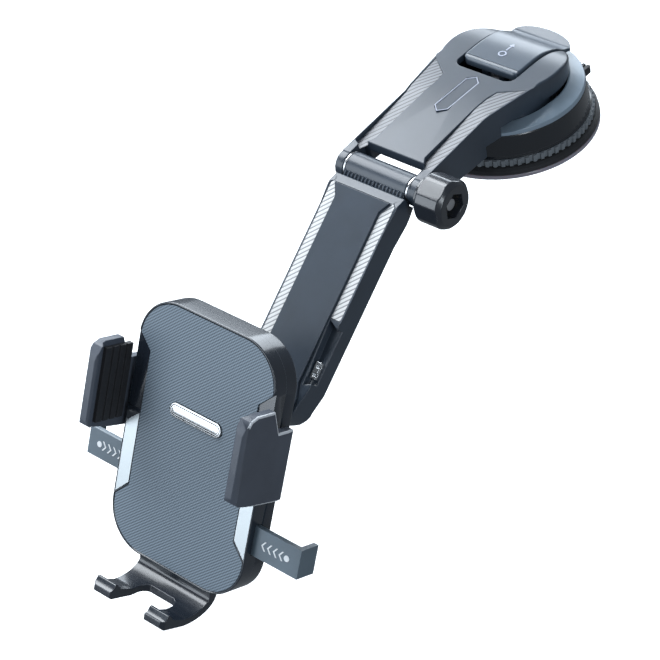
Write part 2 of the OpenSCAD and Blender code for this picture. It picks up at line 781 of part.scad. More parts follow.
module ball_stud() {
  color([0.16, 0.17, 0.19]) on_ball() difference() {
    union() {
      sphere(r = ball_r);
      translate([0, 0, -ball_h]) cylinder(r = stem_r, h = ball_h);
      translate([0, 0, -ball_h - panel_t + seat]) cylinder(r = flange_r, h = panel_t + 1.5);
      translate([0, 0, -ball_h + 1.5]) rotate_extrude() polygon([[0, 0], [flange_r - 1, 0],
        [stem_r, 2], [0, 2]]);
    }
    translate([0, 0, -ball_h - 4]) cylinder(r = 1.6 + run, h = 16);
  }
}

module stud_screw() {
  color("silver") on_arm() translate([0, ball_end - arm_l, 0]) {
    translate([0, 0, arm_back - 1.6]) cylinder(r = 3.2, h = 1.6 - seat);
    translate([0, 0, arm_back - 0.5]) cylinder(r = 1.6, h = arm_t + 10);
  }
}

// A cup about the ball centre between two radii, open over the back of the ball.
module cup_shell_2d(r0, r1) {
  far = 30;
  difference() {
    circle(r = r1);
    circle(r = r0);
    translate([-far, -far]) square([far, 2 * far]);
    polygon([[0, 0], [far * cos(wrap), -far * sin(wrap)], [far, -2 * far], [0, -2 * far]]);
    square([2.2, far]);
  }
}
module cradle_axis() { on_ball() rotate([ball_tilt, 0, 0]) children(); }
module liner_inner() {
  color([0.50, 0.50, 0.48]) cradle_axis() rotate_extrude() cup_shell_2d(r_in0, r_in1);
}
module liner_outer() {
  color([0.40, 0.40, 0.40]) cradle_axis() rotate_extrude() cup_shell_2d(r_out0, r_out1);
}

// The socket stands on the cradle's back and holds both liners.
module ball_socket() {
  color([0.12, 0.13, 0.14]) cradle_axis() difference() {
    translate([0, 0, -r_sock * sin(wrap)]) cylinder(r = sock_r, h = ball_back + r_sock * sin(wrap) - seat);
    sphere(r = r_sock);
  }
}

module ring_nut() {
  z0 = -r_sock * sin(wrap) - gap - 1.8;
  z1 = ball_back - 1.6;
  grips = 16;
  color([0.20, 0.22, 0.25]) cradle_axis() difference() {
    translate([0, 0, z0]) cylinder(r = nut_r, h = z1 - z0);
    translate([0, 0, z0 + 1.8]) cylinder(r = sock_r + run, h = 40);
    translate([0, 0, z0 - 1]) cylinder(r = r_sock, h = 40);
    for (i = [0 : grips - 1]) rotate(i * 360 / grips) translate([nut_r + 0.9, 0, z0 + 2.4])
      cylinder(r = 1.5, h = 30);
  }
}

/* Cradle, drawn with its face at z = 0 and its length along y */

// The jaw arms and push slides pass through the sides with a gap all round.
module side_passes() {
  far = half_w + 2;
  near = half_w - side_wall - 2;
  for (k = [[-1, rack_b + root_d, arm_v1, front_d0, front_d1],
      [1, rack_b + root_d, arm_v1, rear_d0, rear_d1],
      [1, slide_b_v - slide_h / 2, slide_b_v + slide_h / 2, front_d0, front_d1],
      [-1, slide_a_v - slide_h / 2, slide_a_v + slide_h / 2, rear_d0, rear_d1]])
    translate([k[0] > 0 ? near : -far, k[1] - gap, -k[4] - gap])
      cube([far - near, k[2] - k[1] + 2 * gap, k[4] - k[3] + 2 * gap]);
}

foot_half = 13;
foot_d0 = rear_d0;
foot_d1 = rear_d1 + 0.2;
foot_in = 33;
module foot_pass() {
  box(-foot_half - gap, foot_half + gap, -half_l - 2, -half_l + side_wall + 2,
    -foot_d1 - gap, -foot_d0 + gap);
}

module posts() {
  for (x = [-1, 1], y = [-1, 1]) translate([x * (half_w - 11.1), y * (half_l - 10.5), 0]) children();
}

// Side notches of the face, which leave room for the trims and the jaw lips.
module notch_plan(g) {
  inner = half_w - trim_w - 1.1;
  mirror_x() polygon([[inner - g, 29.4 + g], [half_w + 2, 29.4 + g + half_w + 2 - inner],
    [half_w + 2, -27 - g - half_w - 2 + inner], [inner - g, -27 - g]]);
}
module pad_plan(g) {
  difference() {
    round_rect(cradle_w - 2 - 2 * g, cradle_l - 2 - 2 * g, cradle_r - 1 - g);
    notch_plan(g);
  }
}
module trim_plan(g) {
  inner = half_w - trim_w - 0.8;
  outer = half_w - 0.8;
  polygon([[inner - g, 3.4 + g], [outer + g, -1.6 + g], [outer + g, -27 - g - outer + inner + 1],
    [inner - g, -27 - g + 1]]);
}

module front_frame() {
  color([0.13, 0.14, 0.16]) on_cradle() difference() {
    union() {
      difference() {
        slab(-part_d, 0) round_rect(cradle_w, cradle_l, cradle_r);
        slab(-part_d - 1, -floor_d) round_rect(cradle_w - 2 * side_wall,
          cradle_l - 2 * side_wall, cradle_r - side_wall);
      }
      posts() translate([0, 0, -back_d + seat]) cylinder(r = 2.8, h = back_d - floor_d);
    }
    slab(-pad_d, 1) pad_plan(-seat);
    mirror_x() slab(-pad_d, 1) trim_plan(seat);
    // Shallow recesses beside the jaws
    intersection() {
      slab(-0.7, 1) notch_plan(0);
      box(-half_w - 1, half_w + 1, 5, half_l, -pad_d, 2);
    }
    slab(-floor_d - 1, 1) translate([0, badge_v]) square([3, 1], center = true);
    side_passes();
    foot_pass();
    posts() translate([0, 0, -back_d - 1]) cylinder(r = 1.1, h = 8);
  }
}

badge_v = 12;
module badge_plan(g) {
  square([badge_l - badge_w, badge_w + 2 * g], center = true);
  for (x = [-1, 1]) translate([x * (badge_l - badge_w) / 2, 0]) circle(r = badge_w / 2 + g);
}

module face_pad() {
  color([0.28, 0.31, 0.36]) on_cradle() difference() {
    slab(-pad_d + seat, -0.1) pad_plan(0);
    translate([0, badge_v, 0]) slab(-pad_d - 1, 1) badge_plan(seat);
  }
}

// A blank pill with a raised rim.
module badge() {
  color([0.85, 0.86, 0.88]) on_cradle() translate([0, badge_v, 0]) {
    difference() {
      slab(-pad_d + seat, 0.5) badge_plan(0);
      slab(0.25, 1) badge_plan(-0.7);
    }
    slab(-pad_d - 1.4, -pad_d + seat + 0.2) square([2.8, 0.8], center = true);
  }
}

module side_trims() {
  color([0.80, 0.82, 0.84]) on_cradle() mirror_x() slab(-pad_d + seat, -0.05) trim_plan(0);
}

module back_shell() {
  color([0.10, 0.10, 0.12]) on_cradle() difference() {
    union() {
      difference() {
        slab(-cradle_t, -part_d - seat) round_rect(cradle_w, cradle_l, cradle_r);
        slab(-back_d, 0) round_rect(cradle_w - 2 * side_wall, cradle_l - 2 * side_wall,
          cradle_r - side_wall);
      }
      translate([0, pinion_v, -back_d - 0.5]) cylinder(r = post_r, h = back_d + 0.5 - front_d0);
      translate([0, pinion_v, -back_d - 0.5]) cylinder(r = 4, h = back_d + 0.5 - rear_d1 - gap);
      translate([0, -half_l + 16, -back_d - 0.5])
        cylinder(r = 4, h = back_d + 0.5 - foot_d1 - gap);
    }
    side_passes();
    foot_pass();
    posts() translate([0, 0, -cradle_t - 1]) cylinder(r = 1.2, h = 5);
    posts() translate([0, 0, -cradle_t - 1]) cylinder(r = 2.2, h = 2.1);
  }
}

module cradle_screws() {
  color("silver") on_cradle() posts() {
    translate([0, 0, -cradle_t + 0.1]) cylinder(r = 2.1, h = 0.9);
    translate([0, 0, -cradle_t + 0.5]) cylinder(r = 1.05, h = 7);
  }
}

/* Clamp */

// One flank point of a pinion tooth: an involute at radius r, as an angle from the tooth's middle.
base_r = pitch_r * cos(20);
function inv(r) = let (a = acos(base_r / r)) tan(a) * 180 / PI - a;
function flank(r) = 90 / teeth - 0.9 + inv(pitch_r) - inv(max(r, base_r + 0.001));

module pinion() {
  tip = pitch_r + 0.9 * gear_m;
  root = pitch_r - root_d;
  radii = [root, base_r + 0.02, pitch_r - 0.1, pitch_r + 0.4, tip];
  color([0.80, 0.80, 0.76]) on_cradle() translate([0, pinion_v, -rear_d1])
    linear_extrude(height = rear_d1 - front_d0) difference() {
      polygon([for (i = [0 : teeth - 1]) let (mid = (i + 0.5) * 360 / teeth + 90)
        each concat([for (r = radii) r * [cos(mid - flank(r)), sin(mid - flank(r))]],
          [for (k = [4 : -1 : 0]) radii[k] * [cos(mid + flank(radii[k])), sin(mid + flank(radii[k]))]])]);
      circle(r = post_r + run);
    }
}

// Rack teeth on the line y = 0, pointing to -y, between two tooth numbers.
module rack_teeth(n0, n1) {
  pitch = PI * gear_m;
  slope = tan(20);
  half = pitch / 4 - 0.1;
  for (i = [n0 : n1]) translate([i * pitch, 0]) polygon([[-half - root_d * slope, root_d + 0.3],
    [-half - root_d * slope, root_d], [-half + 0.85 * gear_m * slope, -0.85 * gear_m],
    [half - 0.85 * gear_m * slope, -0.85 * gear_m], [half + root_d * slope, root_d],
    [half + root_d * slope, root_d + 0.3]]);
}

// The end of a jaw arm steps forward outside the cradle and enters the jaw.
module tongue(d0) {
  box(half_w + gap, jaw_u0 - seat, rack_b + root_d, arm_v1, -d0 - plate_t, -tongue_d0);
  box(jaw_u0 - 1, jaw_u0 + tongue_l, tongue_v0, tongue_v1, -tongue_d1, -tongue_d0);
}

// The left jaw's carriage, in the front layer, with the right push slide.
module carriage_left() {
  link_u = 20;
  color([0.30, 0.33, 0.37]) on_cradle() {
    slab(-front_d1, -front_d0) {
      translate([-half_w - gap - 0.5, rack_b + root_d])
        square([half_w + gap + 0.5 + link_u + link_w, arm_v1 - rack_b - root_d]);
      translate([0, rack_b]) rack_teeth(-2, 5);
      translate([link_u, slide_b_v - slide_h / 2])
        square([link_w, arm_v1 - slide_b_v + slide_h / 2]);
      translate([-16.7, arm_v1 - 1]) square([4.7, lug_v - arm_v1 + 1]);
      translate([link_u, slide_b_v - slide_h / 2]) square([slide_u - link_u, slide_h]);
    }
    box(slide_u - tab_t, slide_u, slide_b_v - slide_h / 2, slide_b_v + slide_h / 2,
      -cradle_t - 0.5, -front_d0);
    mirror([1, 0, 0]) tongue(front_d0);
  }
}

// The right jaw's carriage, in the rear layer, with the left push slide.
module carriage_right() {
  link_u = 9.5;
  bar_v = rack_a - root_d - 3.8;
  color([0.30, 0.33, 0.37]) on_cradle() {
    slab(-rear_d1, -rear_d0) {
      translate([-30, bar_v]) square([30 + link_u + link_w, 3.8]);
      translate([0, rack_a]) mirror([0, 1]) rack_teeth(-5, 2);
      translate([link_u, bar_v]) square([link_w, lug_v - bar_v]);
      translate([link_u, rack_b + root_d])
        square([half_w + gap + 0.5 - link_u, arm_v1 - rack_b - root_d]);
      translate([-30, slide_a_v - slide_h / 2]) square([10, bar_v + 2 - slide_a_v + slide_h / 2]);
      translate([-slide_u, slide_a_v - slide_h / 2]) square([slide_u - 20, slide_h]);
    }
    box(-slide_u, -slide_u + tab_t, slide_a_v - slide_h / 2, slide_a_v + slide_h / 2,
      -cradle_t - 0.5, -rear_d0);
    tongue(rear_d0);
  }
}

// Outline of a jaw's side plate, with a step near its top.
module jaw_side() {
  step_v = jaw_v1 - 9.4;
  polygon([[jaw_v0, -jaw_d], [step_v, -jaw_d], [step_v, 1.2], [step_v + 1.6, 2], [jaw_v1, 5.4],
    [jaw_v1, jaw_reach - 5.4], [jaw_v1 - 1.4, jaw_reach - 2.2], [jaw_v1 - 4.6, jaw_reach - 0.4],
    [jaw_v1 - 7.5, jaw_reach], [jaw_v0 + 6.6, jaw_reach], [jaw_v0 + 4.4, jaw_reach - 0.9],
    [jaw_v0 + 3.2, jaw_reach - 3], [jaw_v0 + 1, 5]]);
}

// A hook: a side plate with a lip over the phone and a slot for the tongue.
module jaw() {
  far = 60;
  lip_u = jaw_u0 - lip_w;
  color([0.16, 0.18, 0.21]) difference() {
    intersection() {
      across(2 * far) jaw_side();
      rotate([90, 0, 0]) slab(-far, far) polygon([[jaw_u0, -jaw_d - 1], [jaw_u1 - 0.6, -jaw_d - 1],
        [jaw_u1, -jaw_d + 3], [jaw_u1, jaw_reach - 1.6], [jaw_u1 - 1.6, jaw_reach],
        [lip_u + 0.8, jaw_reach], [lip_u, jaw_reach - 0.8], [lip_u, jaw_reach - 2.6],
        [jaw_u0, jaw_reach - 4]]);
    }
    box(jaw_u0 - 2, jaw_u0 + tongue_l + seat, tongue_v0 - seat, tongue_v1 + seat,
      -tongue_d1 - seat, -tongue_d0 + seat);
    // Seat of the pad
    box(jaw_u0 - 1, jaw_u0 + 0.9, jaw_v0 + 5 - seat, jaw_v1 - 2.6 + seat, 1 - seat, jaw_reach - 5 + seat);
  }
}
module jaw_right() { on_cradle() jaw(); }
module jaw_left() { on_cradle() mirror([1, 0, 0]) jaw(); }

// Grooved rubber on the inside of a jaw.
module jaw_pad() {
  n = 3;
  z1 = jaw_reach - 5;
  color([0.05, 0.05, 0.06]) difference() {
    box(jaw_u0 - 1.4, jaw_u0 + 0.9 - seat, jaw_v0 + 5, jaw_v1 - 2.6, 1, z1);
    for (i = [1 : n]) let (z = 1 + (z1 - 1) * i / (n + 1))
      box(jaw_u0 - 2, jaw_u0 - 0.7, jaw_v0, jaw_v1, z - 0.5, z + 0.5);
  }
}
module jaw_pad_right() { on_cradle() jaw_pad(); }
module jaw_pad_left() { on_cradle() mirror([1, 0, 0]) jaw_pad(); }

// A dot and a row of chevrons that point into the cradle.
module slide_marks(d0, v, n) {
  step = 2.9;
  color("white") translate([slide_u - 6.2, v, -d0]) linear_extrude(height = 0.15) {
    circle(r = 1.25);
    for (i = [1 : n]) translate([-step * i, 0]) polygon([[-1, 0], [0.5, 1.9], [1.2, 1.9], [-0.3, 0],
      [1.2, -1.9], [0.5, -1.9]]);
  }
}
module slide_marks_right() { on_cradle() slide_marks(front_d0, slide_b_v, 4); }
module slide_marks_left() { on_cradle() mirror([1, 0, 0]) slide_marks(rear_d0, slide_a_v, 4); }

module clamp_spring() {
  l = half_w - side_wall - 16.7 - 2 * seat;
  rotate([0, 90, 0]) coil(1.35, 0.28, l, 6);
}
module clamp_spring_right() {
  color("silver") on_cradle() translate([16.7 + seat, 20, -rear_d0 - plate_t / 2]) clamp_spring();
}
module clamp_spring_left() {
  color("silver") on_cradle() translate([-half_w + side_wall + seat, 20, -front_d0 - plate_t / 2])
    clamp_spring();
}

/* Foot */

// A point of the foot's J curve, d inside its outer face, at angle a.
sweep_w = 17;
sweep_h = 9.5;
function foot_curve(d, a) = [-half_l - foot_drop + sweep_h + (sweep_h - d) * sin(a),
  -foot_d1 + 1.5 + sweep_w + (sweep_w - d * 1.3) * cos(a)];

// The bend, seen from the side, with a stepped tip that turns up.
module foot_side() {
  top = -half_l - gap - 0.6;
  low = -half_l - foot_drop;
  polygon(concat([[top, -foot_d0 + 3], [top, -foot_d1]],
    [for (a = [180 : 9 : 270]) foot_curve(0, a)],
    [[low + 1.2, foot_reach - 1.2], [low + 2, foot_reach], [low + 4.6, foot_reach],
      [low + 5, foot_reach - 1.4], [low + 7, foot_reach - 2.6], [low + 7.2, foot_reach - 3.4],
      [low + 4.4, foot_reach - 6]],
    [for (a = [270 : -9 : 189]) foot_curve(foot_t, a)]));
}

// A plate that slides in the cradle's end and turns forward into two prongs.
module foot_bracket() {
  cut_w = 2.2;
  cut_r = 4;
  half_gap = foot_gap / 2;
  color([0.14, 0.15, 0.17]) on_cradle() difference() {
    union() {
      box(-foot_half, foot_half, -half_l - 3, -foot_in, -foot_d1, -foot_d0);
      across(foot_w) foot_side();
    }
    // Square cut with round corners between the prongs
    box(-half_gap, half_gap, -100, -half_l, cut_w + cut_r, 60);
    box(-half_gap + cut_r, half_gap - cut_r, -100, -half_l, cut_w, 60);
    for (x = [-1, 1]) translate([x * (half_gap - cut_r), 0, cut_w + cut_r]) rotate([90, 0, 0])
      cylinder(r = cut_r, h = 200, center = true);
    // Corners of the tips
    mirror_x() translate([foot_w / 2, 0, foot_reach]) rotate([90, 45, 0]) cube([2, 2, 200], center = true);
  }
}

gel_pad();
suction_cup();
cup_shell();
fin_ring();
cup_collar();
top_frame();
neck_cover();
base_strip_left();
base_strip_right();
label_plate();
lock_lever();
lever_mark();
pull_rod();
rod_pin();
rod_spring();
base_screws();
hinge_bolt();
hinge_washers();
knob();
knob_nut();
arm_body();
arm_panel();
arm_cover();
arm_strip_left();
arm_strip_right();
arm_clip();
arm_screws();
ball_stud();
stud_screw();
liner_inner();
liner_outer();
ring_nut();
front_frame();
face_pad();
badge();
side_trims();
back_shell();
ball_socket();
cradle_screws();
pinion();
carriage_left();
carriage_right();
jaw_left();
jaw_right();
jaw_pad_left();
jaw_pad_right();
slide_marks_left();
slide_marks_right();
clamp_spring_left();
clamp_spring_right();
foot_bracket();
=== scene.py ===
import json
import math
import bpy
import bmesh
from mathutils import Matrix, Vector


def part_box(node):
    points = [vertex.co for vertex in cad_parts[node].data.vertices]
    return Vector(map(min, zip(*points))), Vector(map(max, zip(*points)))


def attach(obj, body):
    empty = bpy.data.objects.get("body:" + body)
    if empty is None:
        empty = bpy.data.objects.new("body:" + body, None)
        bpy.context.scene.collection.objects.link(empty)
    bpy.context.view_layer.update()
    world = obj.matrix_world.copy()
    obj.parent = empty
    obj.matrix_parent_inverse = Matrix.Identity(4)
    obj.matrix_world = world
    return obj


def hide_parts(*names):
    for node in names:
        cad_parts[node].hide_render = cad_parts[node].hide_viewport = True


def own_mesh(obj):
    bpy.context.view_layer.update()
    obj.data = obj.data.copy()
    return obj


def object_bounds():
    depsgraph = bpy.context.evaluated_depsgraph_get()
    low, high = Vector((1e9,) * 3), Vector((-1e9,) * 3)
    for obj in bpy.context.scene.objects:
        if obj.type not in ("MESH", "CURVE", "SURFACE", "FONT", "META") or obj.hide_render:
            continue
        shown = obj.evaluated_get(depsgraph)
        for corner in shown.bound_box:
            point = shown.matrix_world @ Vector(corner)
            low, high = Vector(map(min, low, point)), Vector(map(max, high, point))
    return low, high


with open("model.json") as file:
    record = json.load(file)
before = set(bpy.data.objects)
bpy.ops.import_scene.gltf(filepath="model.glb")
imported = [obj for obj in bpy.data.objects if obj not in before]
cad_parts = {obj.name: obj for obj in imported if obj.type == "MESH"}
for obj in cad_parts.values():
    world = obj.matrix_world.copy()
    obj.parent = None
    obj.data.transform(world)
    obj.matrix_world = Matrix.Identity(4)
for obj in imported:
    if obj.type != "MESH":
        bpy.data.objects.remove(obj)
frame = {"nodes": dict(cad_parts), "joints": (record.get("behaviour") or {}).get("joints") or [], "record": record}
CAD_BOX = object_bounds()
NODES = frame["nodes"]
JOINTS = {joint["name"]: joint for joint in frame["joints"]}
MOUNTS = {mount["name"]: mount for mount in frame["record"]["mounts"]}
SLOTS = {part["node"]: part["material_slot"] for part in frame["record"]["subparts"]}
BODY_OF = {node: body for body, members in frame["record"]["behaviour"]["bodies"].items() for node in members}
MM = 0.001

# Camera: where it looks, how far away it stands, and its angles
AIM = Vector((-0.0267, -0.0943, -0.0578))
DISTANCE = 0.925
AZIMUTH, ELEVATION, ROLL = 47.20, 40.47, -10.22
LENS = 120.1
COOL_WHITE = (0.84, 0.92, 1)

# The cradle's own frame: across, along and out of its face
ACROSS = Vector((1, 0, 0))
ALONG = Vector(JOINTS["ball_swivel"]["axis"]).normalized()
OUT = Vector(JOINTS["ball_roll"]["axis"]).normalized()
FACE = Vector(MOUNTS["phone_seat"]["pos_m"])
# The arm's own frame: from the ball up to the hinge, and out of its panel
ARM_UP = (Vector(JOINTS["arm_hinge"]["pos_m"]) - Vector(JOINTS["ball_tilt"]["pos_m"])).normalized()
ARM_OUT = ACROSS.cross(ARM_UP)
UP = Vector((0, 0, 1))


def add_camera():
    """The camera that frames the whole mount from above its front right corner."""
    az, el = math.radians(AZIMUTH), math.radians(ELEVATION)
    back = Vector((math.sin(az) * math.cos(el), -math.cos(az) * math.cos(el), math.sin(el)))
    right = UP.cross(back).normalized()
    up = back.cross(right)
    turn = Matrix((right, up, back)).transposed() @ Matrix.Rotation(math.radians(ROLL), 3, "Z")
    data = bpy.data.cameras.new("camera")
    data.lens = LENS
    data.sensor_width = 36
    camera = bpy.data.objects.new("camera", data)
    camera.matrix_world = Matrix.Translation(AIM + back * DISTANCE) @ turn.to_4x4()
    bpy.context.scene.collection.objects.link(camera)
    bpy.context.scene.camera = camera


def add_floor():
    """A pale floor that only the camera sees, so it neither lights nor mirrors in the mount."""
    low, reach = CAD_BOX[0][2] - 20 * MM, 6
    corners = [(-reach, -reach, low), (reach, -reach, low), (reach, reach, low), (-reach, reach, low)]
    mesh = bpy.data.meshes.new("floor")
    mesh.from_pydata(corners, [], [(0, 1, 2, 3)])
    floor = bpy.data.objects.new("floor", mesh)
    bpy.context.scene.collection.objects.link(floor)
    material = bpy.data.materials.new("floor_pale")
    material.use_nodes = True
    shader = material.node_tree.nodes["Principled BSDF"]
    shader.inputs["Base Color"].default_value = (0.86, 0.87, 0.88, 1)
    shader.inputs["Roughness"].default_value = 0.9
    shader.inputs["Specular IOR Level"].default_value = 0.1
    shader.inputs["Emission Color"].default_value = (0.97, 0.985, 1, 1)
    shader.inputs["Emission Strength"].default_value = 0.62
    mesh.materials.append(material)
    floor.visible_diffuse = False
    floor.visible_glossy = False


def add_light(name, direction, distance, size, power, colour):
    """A soft rectangular light that shines on the mount from a direction."""
    data = bpy.data.lights.new(name, "AREA")
    data.shape = "RECTANGLE"
    data.size, data.size_y = size
    data.energy = power
    data.color = colour
    light = bpy.data.objects.new(name, data)
    direction = Vector(direction).normalized()
    light.location = AIM + direction * distance
    light.rotation_euler = direction.to_track_quat("Z", "Y").to_euler()
    bpy.context.scene.collection.objects.link(light)


def add_world():
    """A dim cool surround that lifts the shadows."""
    world = bpy.data.worlds.new("studio")
    bpy.context.scene.world = world
    world.use_nodes = True
    surround = world.node_tree.nodes["Background"]
    surround.inputs["Color"].default_value = (*COOL_WHITE, 1)
    surround.inputs["Strength"].default_value = 0.22


class Paint:
    """A material under construction: its shader and short ways to add nodes."""

    def __init__(self, name, colour, rough, **uniform):
        self.material = bpy.data.materials.new(name)
        self.material.use_nodes = True
        self.tree = self.material.node_tree
        self.shader = self.tree.nodes["Principled BSDF"]
        self.set("Base Color", (*colour, 1))
        self.set("Roughness", rough)
        for key, value in uniform.items():
            self.set(key.replace("_", " "), value)
        self.place = self.node("ShaderNodeTexCoord").outputs["Object"]
        self.normal = None

    def set(self, socket, value):
        self.shader.inputs[socket].default_value = value

    def node(self, kind, inputs=None, **settings):
        node = self.tree.nodes.new(kind)
        for key, value in settings.items():
            setattr(node, key, value)
        for key, value in (inputs or {}).items():
            if isinstance(value, bpy.types.NodeSocket):
                self.tree.links.new(value, node.inputs[key])
            else:
                node.inputs[key].default_value = value
        return node

    def math(self, operation, a, b=0.0):
        return self.node("ShaderNodeMath", {0: a, 1: b}, operation=operation).outputs[0]

    def noise(self, size, detail=3.0, rough=0.55):
        return self.node("ShaderNodeTexNoise", {"Vector": self.place, "Scale": 1 / size, "Detail": detail,
                                                "Roughness": rough}).outputs["Fac"]

    def ridge(self, direction, pitch):
        """A triangle wave from 0 to 1 that repeats every pitch along a direction."""
        along = self.node("ShaderNodeVectorMath", {0: self.place, 1: Vector(direction).normalized()},
                          operation="DOT_PRODUCT").outputs["Value"]
        return self.math("MULTIPLY", self.math("PINGPONG", self.math("MULTIPLY", along, 1 / pitch), 0.5), 2)

    def ramp(self, value, low, high, start=0.0, end=1.0):
        """Blends from colour low to colour high as value goes from start to end."""
        node = self.node("ShaderNodeValToRGB", {"Fac": value})
        node.color_ramp.elements[0].position = start
        node.color_ramp.elements[0].color = (*low, 1)
        node.color_ramp.elements[1].position = end
        node.color_ramp.elements[1].color = (*high, 1)
        return node.outputs["Color"]

    def spread(self, value, low, high):
        """Stretches a value from 0 to 1 so that it runs from low to high."""
        inputs = {"Value": value, "To Min": low, "To Max": high}
        return self.node("ShaderNodeMapRange", inputs).outputs["Result"]

    def worn_edges(self, radius):
        """From 0 on flat ground to 1 on edges that are rubbed bare in patches."""
        rounded = self.node("ShaderNodeBevel", {"Radius": radius}, samples=4).outputs["Normal"]
        real = self.node("ShaderNodeNewGeometry").outputs["Normal"]
        bend = self.node("ShaderNodeVectorMath", {0: rounded, 1: real},
                         operation="DOT_PRODUCT").outputs["Value"]
        edge = self.math("MULTIPLY", self.math("SUBTRACT", 1.0, bend), 5.0)
        patches = self.spread(self.noise(1.6 * MM, 4.0, 0.7), -0.2, 1.5)
        return self.node("ShaderNodeClamp", {"Value": self.math("MULTIPLY", edge, patches)}).outputs[0]

    def blend(self, factor, a, b):
        node = self.tree.nodes.new("ShaderNodeMix")
        node.data_type = "RGBA"
        for socket, value in ((node.inputs[0], factor), (node.inputs[6], a), (node.inputs[7], b)):
            if isinstance(value, bpy.types.NodeSocket):
                self.tree.links.new(value, socket)
            else:
                socket.default_value = (*value, 1)
        return node.outputs[2]

    def colour(self, socket):
        self.tree.links.new(socket, self.shader.inputs["Base Color"])

    def rough(self, socket):
        self.tree.links.new(socket, self.shader.inputs["Roughness"])

    def bump(self, height, distance, strength=1.0):
        inputs = {"Height": height, "Distance": distance, "Strength": strength}
        if self.normal:
            inputs["Normal"] = self.normal
        self.normal = self.node("ShaderNodeBump", inputs).outputs["Normal"]
        self.tree.links.new(self.normal, self.shader.inputs["Normal"])


def shade(colour, factor):
    return tuple(c * factor for c in colour)


def moulded(name, colour, rough, grain=0.35, bump=0.006, tone=0.10, wear=True, **uniform):
    """Moulded plastic: a fine spark-eroded grain with slow tone and gloss drift."""
    paint = Paint(name, colour, rough, **uniform)
    fine = paint.noise(grain * MM, 2.0, 0.6)
    slow = paint.noise(14 * MM, 4.0)
    skin = paint.ramp(slow, shade(colour, 1 - tone), shade(colour, 1 + tone), 0.3, 0.7)
    bare = tuple(min(0.9, c * 1.5 + 0.05) for c in colour)
    paint.colour(paint.blend(paint.worn_edges(0.35 * MM), skin, bare) if wear else skin)
    paint.rough(paint.spread(paint.noise(4 * MM, 5.0, 0.7), rough - 0.04, rough + 0.04))
    paint.bump(fine, bump * MM)
    return paint.material


def metal(name, colour, rough, brush=None, bump=0.0012):
    """Metal with a fine brushed or drawn grain across a direction."""
    paint = Paint(name, colour, rough, Metallic=1.0)
    streak = paint.noise(0.25 * MM, 4.0, 0.7)
    if brush:
        streak = paint.math("ADD", paint.ridge(brush, 0.21 * MM), paint.math("MULTIPLY", streak, 1.5))
        streak = paint.math("MULTIPLY", streak, 0.4)
    skin = paint.ramp(streak, shade(colour, 0.82), shade(colour, 1.06), 0.2, 0.8)
    paint.colour(paint.blend(paint.worn_edges(0.2 * MM), skin, shade(colour, 1.2)))
    paint.rough(paint.spread(paint.noise(2 * MM, 5.0, 0.75), rough - 0.05, rough + 0.08))
    paint.bump(streak, bump * MM)
    return paint.material


def twill(name, dark, light, rough, line, normal, pitch, share, **uniform):
    """Printed twill film: light lines over a darker ground, crossed by fine threads."""
    paint = Paint(name, dark, rough, **{"Coat Weight": 0.2, "Coat Roughness": 0.2}, **uniform)
    line, normal = Vector(line).normalized(), Vector(normal).normalized()
    lines = paint.ridge(line.cross(normal), pitch * MM)
    threads = paint.ridge(line, pitch * 0.38 * MM)
    level = paint.math("ADD", lines, paint.math("MULTIPLY", threads, 0.14))
    paint.colour(paint.ramp(level, dark, light, share - 0.14, share + 0.16))
    paint.rough(paint.spread(paint.noise(1.5 * MM), rough - 0.08, rough + 0.1))
    paint.bump(level, 0.04 * MM)
    return paint.material


def rubber(name, colour, rough):
    """Soft rubber with a matte skin and faint dust in its pores."""
    paint = Paint(name, colour, rough, **{"Specular IOR Level": 0.4, "Sheen Weight": 0.15})
    pores = paint.noise(0.22 * MM, 3.0, 0.7)
    dust = paint.ramp(paint.noise(3 * MM, 6.0, 0.7), shade(colour, 0.8), shade(colour, 1.35), 0.35, 0.75)
    paint.colour(paint.blend(paint.worn_edges(0.25 * MM), dust, shade(colour, 3.0)))
    paint.rough(paint.spread(pores, rough - 0.05, rough + 0.12))
    paint.bump(pores, 0.015 * MM)
    return paint.material


def mesh_rubber(name):
    """The face pad: raised fine threads that cross in diamonds, lighter on their crowns."""
    ground, crown = (0.075, 0.098, 0.125), (0.23, 0.295, 0.36)
    paint = Paint(name, crown, 0.5, **{"Specular IOR Level": 0.45})
    first = paint.ridge(ALONG * 0.77 - ACROSS * 0.64, 1.0 * MM)
    second = paint.ridge(ALONG * 0.64 + ACROSS * 0.77, 0.84 * MM)
    crossing = paint.math("ADD", paint.math("MULTIPLY", first, 0.62), paint.math("MULTIPLY", second, 0.38))
    paint.colour(paint.ramp(crossing, ground, crown, 0.25, 0.75))
    paint.rough(paint.spread(crossing, 0.62, 0.4))
    paint.bump(crossing, 0.06 * MM)
    paint.bump(paint.noise(0.2 * MM), 0.01 * MM)
    return paint.material


